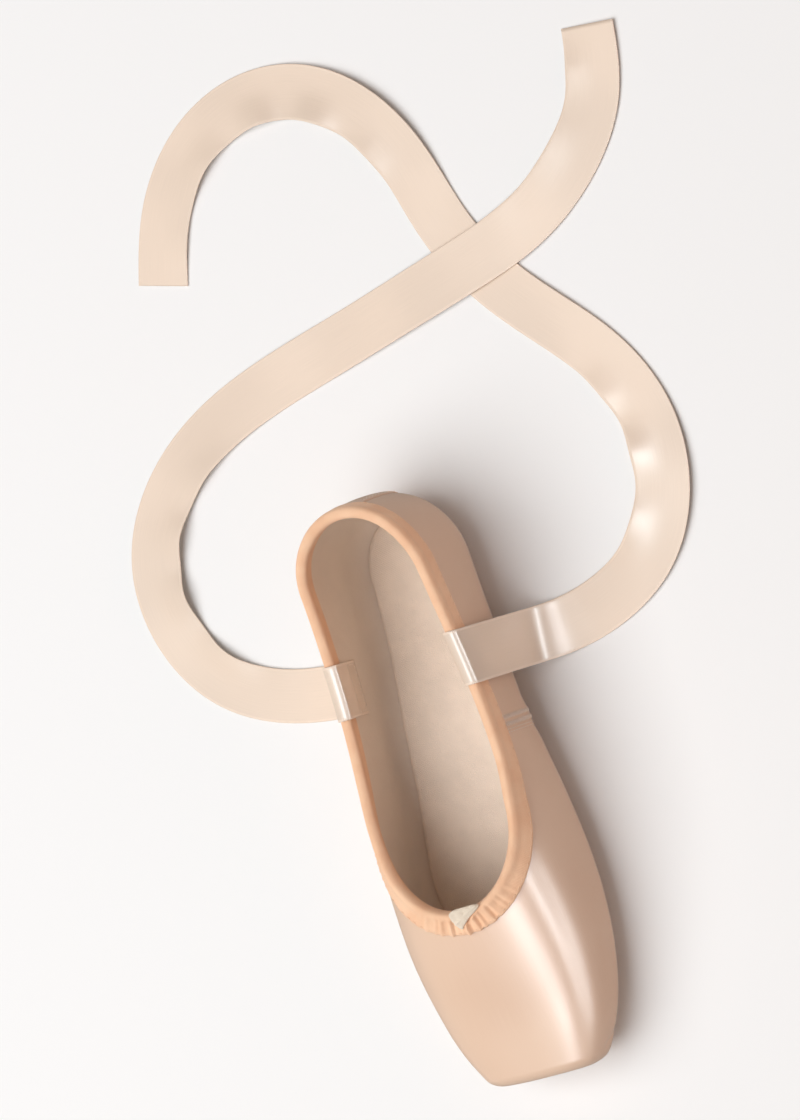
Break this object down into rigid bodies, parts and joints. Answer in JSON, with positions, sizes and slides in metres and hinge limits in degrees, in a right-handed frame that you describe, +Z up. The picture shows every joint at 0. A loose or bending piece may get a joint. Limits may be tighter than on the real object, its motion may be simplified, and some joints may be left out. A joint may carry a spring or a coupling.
{
  "type": "pointe shoe",
  "caption": "Satin ballet shoe with a stiff flat-ended toe box, short leather sole, tape-bound topline and loose ribbons, worn for dancing on the tips of the toes.",
  "frame": {"origin": "on the floor, under the middle of the shoe without its ribbons", "axes": "+X from heel to toe platform, +Z up, the shoe stands on the plane Z = 0 and is mirror-symmetric about Y = 0 apart from its ribbons and drawstring tab"},
  "size_m": [0.4127, 0.2695, 0.0598],
  "materials": {
    "satin": "peach-pink shoe satin over pasted canvas, glossy across the weave",
    "sole_leather": "natural split leather, matt, with a fine pressed diamond hatch on the forepart",
    "insole_linen": "plain cotton sock over board, matt",
    "binding_cotton": "folded cotton tape, matt, puckered over the drawstring",
    "strip_satin": "peach-pink satin strip, stitched along both edges",
    "drawstring_cotton": "cream woven cotton, matt",
    "ribbon_satin": "thin double-faced satin ribbon with woven edges"
  },
  "bodies": {
    "root": {"upper": "satin", "outsole": "sole_leather", "insole": "insole_linen", "binding": "binding_cotton", "heel_strip": "strip_satin", "drawstring_tab": "drawstring_cotton", "ribbon_left": "ribbon_satin", "ribbon_right": "ribbon_satin"}
  },
  "joints": []
}
